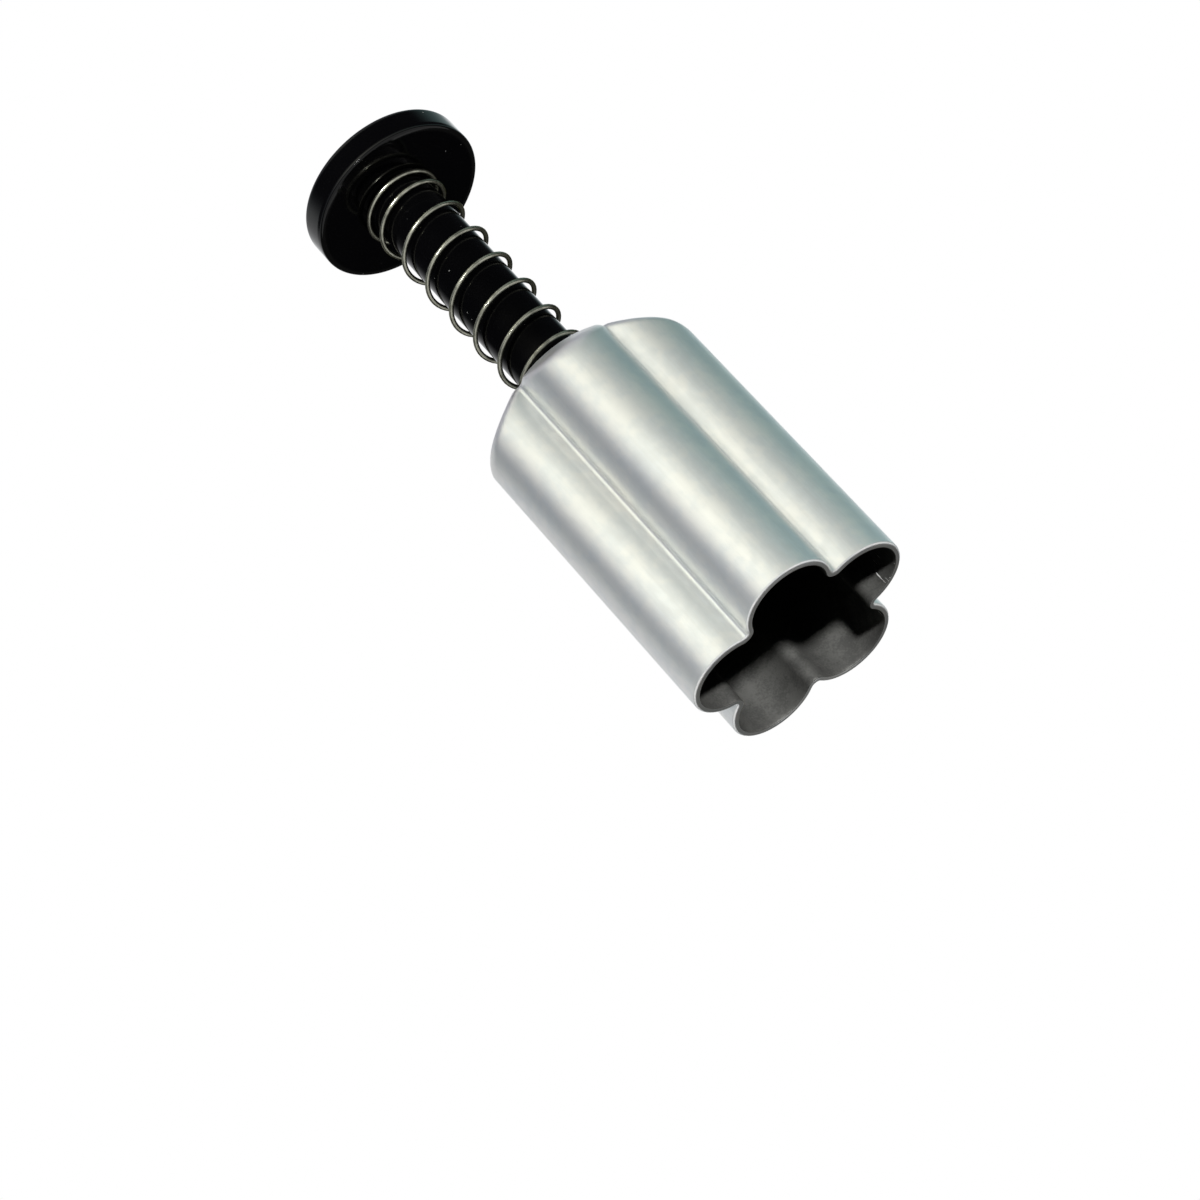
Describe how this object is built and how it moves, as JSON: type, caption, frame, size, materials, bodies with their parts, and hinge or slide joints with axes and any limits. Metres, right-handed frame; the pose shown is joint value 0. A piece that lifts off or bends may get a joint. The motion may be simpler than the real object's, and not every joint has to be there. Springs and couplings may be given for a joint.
{
  "type": "plunger cutter",
  "caption": "Hand-held petal cutter for sugar paste: an open metal tube with a sprung plunger, a round thumb knob and an ejector pad inside.",
  "frame": {"origin": "centre of the cutting edge, on the tool's axis, in the plane that the tool stands on", "axes": "+Z along the tool from the cutting edge to the thumb knob; one petal points along -Y, so the YZ plane is the tube's mirror plane"},
  "size_m": [0.0184, 0.0179, 0.0554],
  "materials": {
    "satin_metal": "satin",
    "spring_wire": "bright",
    "black_plastic": "gloss"
  },
  "bodies": {
    "cutter": {"cutter_shell": "satin_metal", "return_spring": "spring_wire"},
    "plunger": {"plunger_rod": "black_plastic", "thumb_knob": "black_plastic", "ejector_pad": "black_plastic"}
  },
  "joints": [
    {"name": "plunger_slide", "type": "slide", "parent": "cutter", "child": "plunger", "axis": [0, 0, -1], "range_m": [0, 0.019], "stiffness_N_per_m": 122, "springref_m": -0.0058, "deforming": ["return_spring"]}
  ]
}
